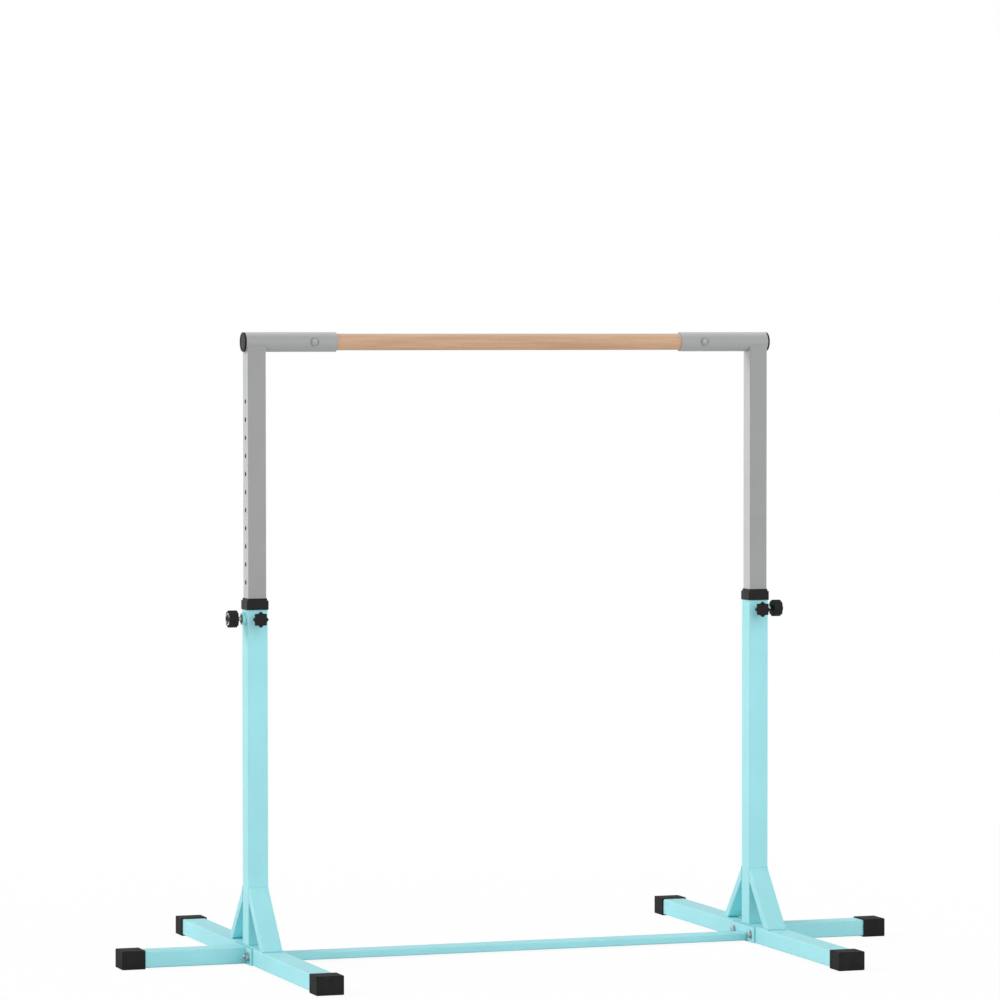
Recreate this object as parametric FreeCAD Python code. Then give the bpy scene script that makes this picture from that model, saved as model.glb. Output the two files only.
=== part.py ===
"""Height-adjustable kip bar for gymnastics practice.

Two upright telescopic posts carry a round beech rail.  Each lower post
stands on a foot plate with two diagonal braces, bolted to a base tube that
runs front to back.  An outrigger reaches out sideways from each base tube
and a flat floor beam joins the two base tubes.  The upper posts, the rail
sleeves and the rail slide up and down together; on each side a screw pin
locks them in a row of holes and a star-headed clamp screw takes up the play.

Frame: +X along the rail, +Y to the rear, +Z up.  The origin lies on the
floor, midway between the posts.  All sizes are in millimetres and the rail
is modelled at its highest setting.
"""
import FreeCAD
import Part
import math
import os

# ---- overall sizes ----
rail_height = 1520.0
post_offset = 659.0
base_half_length = 624.0
outrigger_reach = 1004.5

# ---- base tubes and outriggers ----
base_tube_width = 60.0
base_tube_height = 40.0
base_tube_wall = 2.0
base_tube_corner = 3.0
base_cap_width = 67.5
base_cap_wall = 2.8
base_cap_length = 58.0
base_cap_web = 4.0
base_cap_edge = 2.0
base_tube_bottom = base_cap_wall
base_tube_top = base_tube_bottom + base_tube_height
base_tube_middle = base_tube_bottom + base_tube_height / 2

# ---- flanged joints between floor beam, base tubes and outriggers ----
flange_thickness = 4.0
flange_length = 156.0
flange_corner = 2.0
flange_bolt_spacing = 110.0
flange_bolt_diameter = 10.0
flange_hole_diameter = 10.5
flange_bolt_tip = 4.0
floor_beam_depth = 60.0
floor_beam_height = 18.0
floor_beam_rise = 1.5
floor_beam_wall = 1.8

# ---- lower post, foot plate and braces ----
lower_post_side = 51.0
post_wall = 2.0
post_corner = 2.5
lower_post_top = 889.0
foot_plate_width = 56.0
foot_plate_length = 300.0
foot_plate_thickness = 3.0
foot_plate_top = base_tube_top + foot_plate_thickness
foot_bolt_offset = 90.0
foot_bolt_diameter = 8.0
foot_hole_diameter = 9.0
foot_bolt_length = 16.0
brace_top = 187.5
brace_foot = 148.3
brace_thickness = 22.0
brace_wall = 2.0
brace_corner = 2.5

# ---- collar on the lower post ----
collar_side = 55.0
collar_bottom = 867.0
collar_shoulder = 889.5
collar_top = 894.5
collar_step_side = 49.4
collar_opening = 46.8
collar_shoulder_chamfer = 1.6
collar_step_chamfer = 0.9
collar_corner = 2.0

# ---- upper post ----
upper_post_side = 46.0
upper_post_bottom = 720.0
hole_pitch = 44.2
hole_count = 13
pin_hole_diameter = 12.0
pin_height = 844.4
glide_side = 46.8
glide_height = 12.0
glide_plug_height = 22.0
glide_plug_wall = 3.0
glide_chamfer = 1.0
glide_bore_corner = 1.0

# ---- rail and sleeves ----
rail_diameter = 41.0
rail_half_length = 668.0
rail_chamfer = 1.5
sleeve_diameter = 48.3
sleeve_bore = 41.4
sleeve_inner_end = 452.4
sleeve_outer_end = 684.5
end_cap_diameter = 47.6
end_cap_thickness = 5.1
end_cap_edge = 1.2
end_cap_plug_length = 12.0
end_cap_plug_wall = 2.5
end_cap_recess = 0.8
end_cap_rim = 5.0
rail_bolt_position = 512.2
rail_bolt_diameter = 8.0
rail_bolt_hole = 8.5
rail_bolt_head_diameter = 20.0
rail_bolt_head_height = 4.6
rail_washer_diameter = 20.0
rail_washer_thickness = 3.0

# ---- locking pin screw: M12 stud with a dog point and a ribbed knob ----
pin_thread_diameter = 12.0
pin_thread_bore = 12.1
pin_shank_diameter = 10.0
pin_tip_diameter = 9.8
pin_tip_length = 4.5
pin_thread_length = 14.0
pin_boss_diameter = 30.0
pin_boss_height = 9.0
pin_boss_edge = 1.5
pin_bushing_diameter = 20.0
pin_bushing_bore = 12.4
pin_bushing_depth = 1.5
pin_bushing_proud = 0.5
pin_knob_gap = 20.0
pin_knob_diameter = 42.0
pin_knob_thickness = 24.0
pin_knob_edge = 1.5
pin_knob_flutes = 8
pin_flute_radius = 5.0
pin_flute_depth = 1.8
pin_knob_hub_diameter = 14.0
pin_knob_hub_length = 4.0
pin_knob_bore_depth = 16.0
screw_running_gap = 0.05

# ---- clamp screw: M8 stud with a star knob ----
clamp_thread_diameter = 8.0
clamp_thread_bore = 8.1
clamp_shank_diameter = 7.2
clamp_boss_diameter = 15.0
clamp_boss_height = 6.0
clamp_thread_length = 12.0
clamp_knob_face = 33.0
clamp_knob_thickness = 13.0
clamp_hub_diameter = 16.0
clamp_hub_length = 4.0
clamp_knob_bore_depth = 11.0
star_points = 8
star_tip_radius = 20.3
star_valley_radius = 15.6
star_tip_rounding = 1.6
star_edge = 1.0

# ---- fastener proportions ----
m10_across_flats = 17.0
m10_head_height = 6.4
m10_nut_height = 8.0
m10_washer_diameter = 21.0
m10_washer_thickness = 2.0
m8_across_flats = 13.0
m8_head_height = 5.3
m8_nut_height = 6.5
m8_flange_diameter = 17.0
m8_flange_thickness = 1.2
fastener_chamfer = 0.8
cap_nut_radius = 6.0
cap_nut_overlap = 1.0

# ---- positions that follow from the sizes above ----
base_inner_face = post_offset - base_tube_width / 2
base_outer_face = post_offset + base_tube_width / 2
post_outer_face = post_offset + lower_post_side / 2
upper_outer_face = post_offset + upper_post_side / 2
post_front_face = -lower_post_side / 2
upper_front_face = -upper_post_side / 2

ORIGIN = FreeCAD.Vector(0, 0, 0)
AXIS_X = FreeCAD.Vector(1, 0, 0)
AXIS_Y = FreeCAD.Vector(0, 1, 0)
AXIS_Z = FreeCAD.Vector(0, 0, 1)


def moved(shape, x=0.0, y=0.0, z=0.0):
    """Copy of the shape shifted by the given distances."""
    copy = shape.copy()
    copy.translate(FreeCAD.Vector(x, y, z))
    return copy


def along_x(shape):
    """Copy of an upright shape laid down so that its +Z end points to +X."""
    copy = shape.copy()
    copy.rotate(ORIGIN, AXIS_Y, 90)
    return copy


def along_y(shape):
    """Copy of an upright shape laid down so that its +Z end points to +Y."""
    copy = shape.copy()
    copy.rotate(ORIGIN, AXIS_X, -90)
    return copy


def facing_front(shape):
    """Copy of an upright shape laid down so that its +Z end points to -Y."""
    copy = shape.copy()
    copy.rotate(ORIGIN, AXIS_X, 90)
    return copy


def other_side(shape):
    """Mirror image of a right-hand shape, for the left-hand side."""
    return shape.mirror(ORIGIN, AXIS_X)


def runs_along(edge, direction):
    """True for a straight edge parallel to the direction."""
    if edge.Curve.TypeId != "Part::GeomLine":
        return False
    return abs(edge.tangentAt(edge.FirstParameter).dot(direction)) > 0.999


def disc(diameter, height, z=0.0):
    """Upright cylinder on the Z axis, starting at the given height."""
    return Part.makeCylinder(diameter / 2, height, FreeCAD.Vector(0, 0, z))


def chamfered_disc(diameter, height, chamfer):
    """Upright cylinder with both rims chamfered."""
    cylinder = disc(diameter, height)
    rims = [edge for edge in cylinder.Edges if not runs_along(edge, AXIS_Z)]
    return cylinder.makeChamfer(chamfer, rims)


def block(width, depth, height, corner):
    """Upright block on z = 0 with rounded vertical edges."""
    box = Part.makeBox(width, depth, height, FreeCAD.Vector(-width / 2, -depth / 2, 0))
    return box.makeFillet(corner, [edge for edge in box.Edges if runs_along(edge, AXIS_Z)])


def tube(width, depth, length, wall, corner):
    """Upright rectangular tube on z = 0."""
    inner_corner = max(corner - wall, 0.5)
    hollow = block(width - 2 * wall, depth - 2 * wall, length, inner_corner)
    return block(width, depth, length, corner).cut(hollow)


def rim_edges(shape, height):
    """Edges of an upright shape that lie in the plane of its top face."""
    return [edge for edge in shape.Edges if edge.BoundBox.ZMin > height - 0.01]


def chamfer_top(shape, height, chamfer):
    """Upright shape with the rim of its top face chamfered."""
    return shape.makeChamfer(chamfer, rim_edges(shape, height))


def fillet_top(shape, height, radius):
    """Upright shape with the rim of its top face rounded."""
    return shape.makeFillet(radius, rim_edges(shape, height))


def hexagon(across_flats, height):
    """Upright hexagonal prism with its corners turned off at both ends."""
    corner_radius = across_flats / math.sqrt(3)
    points = []
    for step in range(7):
        angle = math.radians(60 * step)
        points.append(FreeCAD.Vector(corner_radius * math.cos(angle), corner_radius * math.sin(angle), 0))
    prism = Part.Face(Part.makePolygon(points)).extrude(FreeCAD.Vector(0, 0, height))
    return prism.common(chamfered_disc(2 * corner_radius, height, fastener_chamfer))


def hexagon_nut(across_flats, height, bore):
    """Upright hexagonal nut on z = 0."""
    return hexagon(across_flats, height).cut(disc(bore, height))


def washer(diameter, thickness, bore):
    """Upright flat washer on z = 0."""
    return disc(diameter, thickness).cut(disc(bore, thickness))


# ---------------------------------------------------------------- base frame


def end_cap():
    """Plastic cap pushed over a tube end; open at z = 0, closed at the top."""
    height = base_tube_height + 2 * base_cap_wall
    box = Part.makeBox(
        base_cap_width, height, base_cap_length, FreeCAD.Vector(-base_cap_width / 2, -height / 2, 0)
    )
    rounded_edges = [edge for edge in box.Edges if edge.CenterOfMass.z > 1]
    shell = box.makeFillet(base_cap_edge, rounded_edges)
    pocket = block(base_tube_width, base_tube_height, base_cap_length - base_cap_web, base_tube_corner)
    return shell.cut(pocket)


def base_tube():
    """Front-to-back tube under the post, with holes for all its bolts."""
    half_length = base_half_length - base_cap_web
    length = 2 * half_length
    body = along_y(tube(base_tube_width, base_tube_height, length, base_tube_wall, base_tube_corner))
    body = moved(body, post_offset, -half_length, base_tube_middle)
    for side in (-1, 1):
        cross_hole = along_x(disc(flange_hole_diameter, base_tube_width))
        hole_y = side * flange_bolt_spacing / 2
        body = body.cut(moved(cross_hole, base_inner_face, hole_y, base_tube_middle))
        foot_hole = disc(foot_hole_diameter, base_tube_wall)
        foot_hole = moved(foot_hole, post_offset, side * foot_bolt_offset, base_tube_top - base_tube_wall)
        body = body.cut(foot_hole)
    return body


def base_end_caps():
    """The two caps of one base tube, as separate solids."""
    rear = along_y(end_cap())
    rear = moved(rear, post_offset, base_half_length - base_cap_length, base_tube_middle)
    front = rear.mirror(ORIGIN, AXIS_Y)
    return Part.makeCompound([front, rear])


def outrigger_tube():
    """Sideways tube that starts at the outer flange."""
    start = base_outer_face + flange_thickness
    length = outrigger_reach - base_cap_web - start
    body = along_x(tube(base_tube_height, base_tube_width, length, base_tube_wall, base_tube_corner))
    return moved(body, start, 0, base_tube_middle)


def outrigger_end_cap():
    """Cap on the outer end of the outrigger."""
    cap = end_cap()
    cap.rotate(ORIGIN, AXIS_Z, 90)
    return moved(along_x(cap), outrigger_reach - base_cap_length, 0, base_tube_middle)


def flange():
    """Bolting plate centred on the X axis, from x = 0 to its thickness."""
    plate = along_x(block(base_tube_height, flange_length, flange_thickness, flange_corner))
    for side in (-1, 1):
        hole = along_x(disc(flange_hole_diameter, flange_thickness))
        plate = plate.cut(moved(hole, 0, side * flange_bolt_spacing / 2, 0))
    return plate


def floor_beam_tube():
    """Flat tube on the floor between the two inner flanges."""
    half_length = base_inner_face - flange_thickness
    beam = tube(floor_beam_height, floor_beam_depth, 2 * half_length, floor_beam_wall, base_tube_corner)
    beam_middle = base_tube_bottom + floor_beam_rise + floor_beam_height / 2
    return moved(along_x(beam), -half_length, 0, beam_middle)


def flange_bolt():
    """Long hexagon bolt lying along +X; x = 0 is the face its washer rests on."""
    clamped = base_tube_width + 2 * flange_thickness
    shank_end = clamped + m10_washer_thickness + m10_nut_height + flange_bolt_tip
    shank = chamfered_disc(flange_bolt_diameter, shank_end + m10_washer_thickness, fastener_chamfer)
    shank = moved(shank, z=-m10_washer_thickness)
    head = moved(hexagon(m10_across_flats, m10_head_height), z=-m10_washer_thickness - m10_head_height)
    return along_x(shank.fuse(head).removeSplitter())


def flange_fasteners():
    """Bolts, washers and nuts of both flanged joints, each as a group."""
    inner_seat = base_inner_face - flange_thickness
    outer_seat = base_outer_face + flange_thickness
    flat_washer = along_x(washer(m10_washer_diameter, m10_washer_thickness, flange_hole_diameter))
    nut = along_x(hexagon_nut(m10_across_flats, m10_nut_height, flange_bolt_diameter))
    bolts = []
    washers = []
    nuts = []
    for side in (-1, 1):
        y = side * flange_bolt_spacing / 2
        z = base_tube_middle
        bolts.append(moved(flange_bolt(), inner_seat, y, z))
        washers.append(moved(flat_washer, inner_seat - m10_washer_thickness, y, z))
        washers.append(moved(flat_washer, outer_seat, y, z))
        nuts.append(moved(nut, outer_seat + m10_washer_thickness, y, z))
    return bolts, washers, nuts


def foot_plate():
    """Plate welded under the post and braces and bolted to the base tube."""
    plate = block(foot_plate_width, foot_plate_length, foot_plate_thickness, post_corner)
    for side in (-1, 1):
        plate = plate.cut(moved(disc(foot_hole_diameter, foot_plate_thickness), y=side * foot_bolt_offset))
    return moved(plate, post_offset, 0, base_tube_top)


def foot_fasteners():
    """Flanged bolts through the foot plate and the weld nuts inside the tube."""
    hex_head = moved(hexagon(m8_across_flats, m8_head_height), z=m8_flange_thickness)
    head = disc(m8_flange_diameter, m8_flange_thickness).fuse(hex_head)
    shank = disc(foot_bolt_diameter, foot_bolt_length, -foot_bolt_length)
    bolt = head.fuse(shank).removeSplitter()
    nut = hexagon_nut(m8_across_flats, m8_nut_height, foot_bolt_diameter)
    nut_bottom = base_tube_top - base_tube_wall - m8_nut_height
    bolts = []
    nuts = []
    for side in (-1, 1):
        y = side * foot_bolt_offset
        bolts.append(moved(bolt, post_offset, y, foot_plate_top))
        nuts.append(moved(nut, post_offset, y, nut_bottom))
    return bolts, nuts


def brace_profile(inset):
    """Side view of the rear brace in the YZ plane, narrowed by the inset."""
    run = brace_foot - lower_post_side / 2
    rise = brace_top - foot_plate_top
    slant = math.hypot(run, rise)
    level_shift = slant / rise
    outer_foot = brace_foot - inset * level_shift
    inner_foot = brace_foot - (brace_thickness - inset) * level_shift
    slope = rise / run
    face_y = lower_post_side / 2
    corners = [
        (outer_foot, foot_plate_top),
        (face_y, foot_plate_top + (outer_foot - face_y) * slope),
        (face_y, foot_plate_top + (inner_foot - face_y) * slope),
        (inner_foot, foot_plate_top),
    ]
    return [FreeCAD.Vector(0, y, z) for y, z in corners]


def brace_prism(inset, corner):
    """Solid bar with the brace's side view and rounded long edges."""
    width = lower_post_side - 2 * inset
    points = brace_profile(inset)
    outline = Part.Face(Part.makePolygon(points + points[:1]))
    prism = outline.extrude(FreeCAD.Vector(width, 0, 0))
    slant = (points[1] - points[0]).normalize()
    prism = prism.makeFillet(corner, [edge for edge in prism.Edges if runs_along(edge, slant)])
    return moved(prism, post_offset - width / 2)


def rear_brace():
    """Rectangular tube from the rear face of the post down to the foot plate."""
    return brace_prism(0.0, brace_corner).cut(brace_prism(brace_wall, brace_corner - brace_wall))


def lower_post():
    """Square tube on the foot plate, with its two screw holes near the top."""
    length = lower_post_top - foot_plate_top
    body = tube(lower_post_side, lower_post_side, length, post_wall, post_corner)
    body = moved(body, post_offset, 0, foot_plate_top)
    pin_hole = along_x(disc(pin_thread_bore, post_wall))
    body = body.cut(moved(pin_hole, post_outer_face - post_wall, 0, pin_height))
    clamp_hole = along_y(disc(clamp_thread_bore, post_wall))
    return body.cut(moved(clamp_hole, post_offset, post_front_face, pin_height))


def post_collar():
    """Stepped plastic collar over the lower post; the upper post runs through it."""
    skirt_height = collar_shoulder - collar_bottom
    skirt = block(collar_side, collar_side, skirt_height, post_corner)
    skirt = chamfer_top(skirt, skirt_height, collar_shoulder_chamfer)
    step_height = collar_top - collar_shoulder
    step = block(collar_step_side, collar_step_side, step_height, collar_corner)
    step = chamfer_top(step, step_height, collar_step_chamfer)
    body = skirt.fuse(moved(step, z=skirt_height)).removeSplitter()
    body = body.cut(block(lower_post_side, lower_post_side, lower_post_top - collar_bottom, post_corner))
    opening = block(collar_opening, collar_opening, collar_top - collar_bottom, collar_corner)
    return moved(body.cut(opening), post_offset, 0, collar_bottom)


def pin_boss():
    """Threaded boss welded to the outer face of the lower post."""
    body = fillet_top(disc(pin_boss_diameter, pin_boss_height), pin_boss_height, pin_boss_edge)
    body = body.cut(disc(pin_thread_bore, pin_boss_height))
    seat = disc(pin_bushing_diameter, pin_bushing_depth, pin_boss_height - pin_bushing_depth)
    return moved(along_x(body.cut(seat)), post_outer_face, 0, pin_height)


def pin_bushing():
    """Black wiper ring set in the mouth of the threaded boss."""
    ring = washer(pin_bushing_diameter, pin_bushing_depth + pin_bushing_proud, pin_bushing_bore)
    start = post_outer_face + pin_boss_height - pin_bushing_depth
    return moved(along_x(ring), start, 0, pin_height)


def clamp_boss():
    """Threaded boss on the front face of the lower post."""
    body = facing_front(washer(clamp_boss_diameter, clamp_boss_height, clamp_thread_bore))
    return moved(body, post_offset, post_front_face, pin_height)


# ------------------------------------------------------------ sliding carriage


def sleeve_envelope():
    """Outside cylinder of the rail sleeve, used to shape the parts around it."""
    length = sleeve_outer_end - sleeve_inner_end
    return moved(along_x(disc(sleeve_diameter, length)), sleeve_inner_end, 0, rail_height)


def rail_bolt_bore():
    """Front-to-back hole through sleeve and rail."""
    bore = along_y(disc(rail_bolt_hole, 2 * sleeve_diameter))
    return moved(bore, rail_bolt_position, -sleeve_diameter, rail_height)


def upper_post():
    """Square tube with the row of height holes, coped to fit the rail sleeve."""
    length = rail_height - upper_post_bottom
    body = tube(upper_post_side, upper_post_side, length, post_wall, post_corner)
    body = moved(body, post_offset, 0, upper_post_bottom).cut(sleeve_envelope())
    hole = along_x(disc(pin_hole_diameter, post_wall))
    for step in range(hole_count):
        hole_z = pin_height + step * hole_pitch
        body = body.cut(moved(hole, upper_outer_face - post_wall, 0, hole_z))
    return body


def post_glide():
    """Plastic glide plugged into the bottom end of the upper post."""
    foot = block(glide_side, glide_side, glide_height, post_corner)
    lower_rim = [edge for edge in foot.Edges if edge.BoundBox.ZMax < 0.01]
    foot = foot.makeChamfer(glide_chamfer, lower_rim)
    plug_side = upper_post_side - 2 * post_wall
    plug = block(plug_side, plug_side, glide_plug_height, post_corner - post_wall)
    body = foot.fuse(moved(plug, z=glide_height)).removeSplitter()
    hollow_side = plug_side - 2 * glide_plug_wall
    body = body.cut(block(hollow_side, hollow_side, glide_height + glide_plug_height, glide_bore_corner))
    return moved(body, post_offset, 0, upper_post_bottom - glide_height)


def rail_sleeve():
    """Round steel sleeve that holds one end of the rail."""
    length = sleeve_outer_end - sleeve_inner_end
    bore = moved(along_x(disc(sleeve_bore, length)), sleeve_inner_end, 0, rail_height)
    return sleeve_envelope().cut(bore).cut(rail_bolt_bore())


def sleeve_end_cap():
    """Plastic plug with a rimmed disc that closes the outer end of a sleeve."""
    face = fillet_top(disc(end_cap_diameter, end_cap_thickness), end_cap_thickness, end_cap_edge)
    recess_diameter = end_cap_diameter - 2 * end_cap_rim
    face = face.cut(disc(recess_diameter, end_cap_recess, end_cap_thickness - end_cap_recess))
    plug_bore = sleeve_bore - 2 * end_cap_plug_wall
    plug = moved(washer(sleeve_bore, end_cap_plug_length, plug_bore), z=-end_cap_plug_length)
    return moved(along_x(face.fuse(plug).removeSplitter()), sleeve_outer_end, 0, rail_height)


def rail():
    """Round beech rail with its two bolt holes."""
    bar = along_x(chamfered_disc(rail_diameter, 2 * rail_half_length, rail_chamfer))
    bar = moved(bar, -rail_half_length, 0, rail_height)
    return bar.cut(rail_bolt_bore()).cut(other_side(rail_bolt_bore()))


def rail_fasteners():
    """Dome-headed bolt, saddle washer and cap nut that hold the rail in a sleeve."""
    sleeve_radius = sleeve_diameter / 2
    head_radius = rail_bolt_head_diameter / 2
    sphere_radius = (head_radius ** 2 + rail_bolt_head_height ** 2) / (2 * rail_bolt_head_height)
    dome_centre = FreeCAD.Vector(0, 0, sleeve_radius + rail_bolt_head_height - sphere_radius)
    dome = Part.makeSphere(sphere_radius, dome_centre)
    head_root = sleeve_radius - rail_washer_thickness
    head = dome.common(disc(rail_bolt_head_diameter, sleeve_diameter, head_root))
    skirt = disc(rail_bolt_head_diameter, rail_washer_thickness, head_root)
    washer_face = sleeve_radius + rail_washer_thickness / 2
    shank_low = -washer_face - m8_nut_height
    shank = disc(rail_bolt_diameter, sleeve_radius - shank_low, shank_low)
    head = head.fuse(skirt).removeSplitter()
    bolt = facing_front(head)
    bolt = moved(bolt, rail_bolt_position, 0, rail_height).cut(sleeve_envelope())
    shank = moved(facing_front(shank), rail_bolt_position, 0, rail_height)
    bolt = bolt.fuse(shank).removeSplitter()
    saddle = disc(rail_washer_diameter, washer_face, 0).cut(disc(rail_bolt_hole, washer_face, 0))
    saddle = moved(along_y(saddle), rail_bolt_position, 0, rail_height).cut(sleeve_envelope())
    nut_body = hexagon(m8_across_flats, m8_nut_height)
    cap_root = m8_nut_height - cap_nut_overlap
    cap = Part.makeSphere(cap_nut_radius, FreeCAD.Vector(0, 0, cap_root))
    cap = cap.common(disc(m8_across_flats, m8_nut_height, cap_root))
    nut = nut_body.fuse(cap).removeSplitter()
    nut = nut.cut(disc(rail_bolt_diameter, m8_nut_height))
    nut = moved(along_y(nut), rail_bolt_position, washer_face, rail_height)
    return bolt, saddle, nut


# ------------------------------------------------------------------- screws


def pin_stud():
    """Locking screw: dog point in the post, thread in the boss, plain shank."""
    tip = disc(pin_tip_diameter, pin_tip_length)
    tip_rim = [edge for edge in tip.Edges if edge.BoundBox.ZMax < 0.01]
    tip = tip.makeChamfer(fastener_chamfer, tip_rim)
    thread = disc(pin_thread_diameter, pin_thread_length, pin_tip_length)
    shoulder = upper_outer_face + screw_running_gap
    tip_end = shoulder - pin_tip_length
    knob_face = post_outer_face + pin_knob_gap
    shank_length = knob_face + pin_knob_bore_depth - 2 * screw_running_gap - tip_end
    shank = disc(pin_shank_diameter, shank_length - pin_tip_length, pin_tip_length)
    stud = tip.fuse(thread).fuse(shank).removeSplitter()
    return moved(along_x(stud), tip_end, 0, pin_height)


def pin_knob():
    """Round knob with shallow grip flutes and a short hub on its inner side."""
    grip = disc(pin_knob_diameter, pin_knob_thickness)
    rims = [edge for edge in grip.Edges if not runs_along(edge, AXIS_Z)]
    grip = grip.makeFillet(pin_knob_edge, rims)
    flute_centre = pin_knob_diameter / 2 + pin_flute_radius - pin_flute_depth
    for step in range(pin_knob_flutes):
        angle = 2 * math.pi * (step + 0.5) / pin_knob_flutes
        flute = disc(2 * pin_flute_radius, pin_knob_thickness)
        grip = grip.cut(moved(flute, flute_centre * math.cos(angle), flute_centre * math.sin(angle)))
    hub = disc(pin_knob_hub_diameter, pin_knob_hub_length, -pin_knob_hub_length)
    bore_diameter = pin_shank_diameter + 2 * screw_running_gap
    bore = disc(bore_diameter, pin_knob_bore_depth + pin_knob_hub_length, -pin_knob_hub_length)
    knob = grip.fuse(hub).removeSplitter().cut(bore)
    return moved(along_x(knob), post_outer_face + pin_knob_gap, 0, pin_height)


def clamp_stud():
    """Clamp screw: its end bears on the front face of the upper post."""
    thread = chamfered_disc(clamp_thread_diameter, clamp_thread_length, fastener_chamfer)
    tip_y = upper_front_face - screw_running_gap
    knob_root = post_front_face - clamp_knob_face + clamp_knob_thickness
    shank_length = tip_y - knob_root + clamp_knob_bore_depth - 2 * screw_running_gap
    stud = thread.fuse(disc(clamp_shank_diameter, shank_length)).removeSplitter()
    return moved(facing_front(stud), post_offset, tip_y, pin_height)


def star_outline():
    """Corner points of the star, tips and valleys in turn."""
    points = []
    for step in range(2 * star_points + 1):
        radius = star_valley_radius if step % 2 else star_tip_radius
        angle = math.pi * step / star_points
        points.append(FreeCAD.Vector(radius * math.cos(angle), radius * math.sin(angle), 0))
    return points


def clamp_knob():
    """Eight-pointed star knob with a hub towards the post."""
    face = Part.Face(Part.makePolygon(star_outline()))
    star = face.extrude(FreeCAD.Vector(0, 0, clamp_knob_thickness))
    star = star.makeFillet(star_tip_rounding, [edge for edge in star.Edges if runs_along(edge, AXIS_Z)])
    star = chamfer_top(star, clamp_knob_thickness, star_edge)
    hub = disc(clamp_hub_diameter, clamp_hub_length, -clamp_hub_length)
    bore_diameter = clamp_shank_diameter + 2 * screw_running_gap
    bore = disc(bore_diameter, clamp_knob_bore_depth + clamp_hub_length, -clamp_hub_length)
    knob = facing_front(star.fuse(hub).removeSplitter().cut(bore))
    return moved(knob, post_offset, post_front_face - clamp_knob_face + clamp_knob_thickness, pin_height)


# ------------------------------------------------------------------ assembly


def paired_parts():
    """Parts that exist once on each side, built on the right-hand side."""
    return {
        "base_tube": base_tube(),
        "base_end_caps": base_end_caps(),
        "outrigger_tube": outrigger_tube(),
        "outrigger_flange": moved(flange(), base_outer_face, 0, base_tube_middle),
        "outrigger_end_cap": outrigger_end_cap(),
        "foot_plate": foot_plate(),
        "lower_post": lower_post(),
        "rear_brace": rear_brace(),
        "front_brace": rear_brace().mirror(ORIGIN, AXIS_Y),
        "post_collar": post_collar(),
        "pin_boss": pin_boss(),
        "pin_bushing": pin_bushing(),
        "clamp_boss": clamp_boss(),
        "upper_post": upper_post(),
        "post_glide": post_glide(),
        "rail_sleeve": rail_sleeve(),
        "sleeve_end_cap": sleeve_end_cap(),
        "pin_stud": pin_stud(),
        "pin_knob": pin_knob(),
        "clamp_stud": clamp_stud(),
        "clamp_knob": clamp_knob(),
    }


def both_sides(solids):
    """Group of the right-hand solids and their mirror images."""
    return Part.makeCompound(solids + [other_side(solid) for solid in solids])


def shared_parts():
    """Parts on the middle line, and fasteners grouped by kind."""
    inner_flange = moved(flange(), base_inner_face - flange_thickness, 0, base_tube_middle)
    flange_bolts, flange_washers, flange_nuts = flange_fasteners()
    foot_bolts, foot_nuts = foot_fasteners()
    rail_bolt, rail_washer, rail_nut = rail_fasteners()
    return {
        "floor_beam_tube": floor_beam_tube(),
        "floor_beam_flanges": both_sides([inner_flange]),
        "flange_bolts": both_sides(flange_bolts),
        "flange_washers": both_sides(flange_washers),
        "flange_nuts": both_sides(flange_nuts),
        "foot_bolts": both_sides(foot_bolts),
        "foot_weld_nuts": both_sides(foot_nuts),
        "rail": rail(),
        "rail_bolts": both_sides([rail_bolt]),
        "rail_washers": both_sides([rail_washer]),
        "rail_nuts": both_sides([rail_nut]),
    }


def all_parts():
    """Every part of the kip bar by its node name."""
    parts = shared_parts()
    for name, shape in paired_parts().items():
        parts["right_" + name] = shape
        parts["left_" + name] = other_side(shape)
    return parts


os.makedirs("parts", exist_ok=True)
for node, shape in sorted(all_parts().items()):
    shape.exportStep("parts/" + node + ".step")
    print(node, len(shape.Solids), "solids", round(shape.Volume / 1000, 2), "cm3")
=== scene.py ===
import math
import random

import bmesh
import bpy
from mathutils import Matrix, Vector


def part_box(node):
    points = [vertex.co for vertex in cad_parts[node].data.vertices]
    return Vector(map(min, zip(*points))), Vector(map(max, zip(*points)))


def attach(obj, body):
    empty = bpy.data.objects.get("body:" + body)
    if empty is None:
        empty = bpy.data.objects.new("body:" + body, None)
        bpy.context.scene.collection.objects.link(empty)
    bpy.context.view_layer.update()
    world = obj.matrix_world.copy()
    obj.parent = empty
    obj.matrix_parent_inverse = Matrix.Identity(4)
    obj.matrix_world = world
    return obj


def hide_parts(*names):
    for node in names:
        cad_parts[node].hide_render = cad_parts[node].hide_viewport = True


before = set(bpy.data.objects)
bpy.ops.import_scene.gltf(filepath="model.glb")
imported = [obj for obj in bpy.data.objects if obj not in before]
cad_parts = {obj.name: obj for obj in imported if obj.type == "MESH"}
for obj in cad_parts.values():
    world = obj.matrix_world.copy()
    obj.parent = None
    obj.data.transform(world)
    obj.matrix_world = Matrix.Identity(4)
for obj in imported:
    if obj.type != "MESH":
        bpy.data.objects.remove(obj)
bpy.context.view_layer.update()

# Lengths are in metres, in the frame of the CAD model: +X along the rail, +Y to the rear, +Z up.
SIDES = ("left", "right")
OUTWARD = {"left": Vector((-1, 0, 0)), "right": Vector((1, 0, 0))}
TOWARDS_FRONT = Vector((0, -1, 0))
REARWARD = Vector((0, 1, 0))
RIGHTWARD = Vector((1, 0, 0))
UPWARD = Vector((0, 0, 1))

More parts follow.
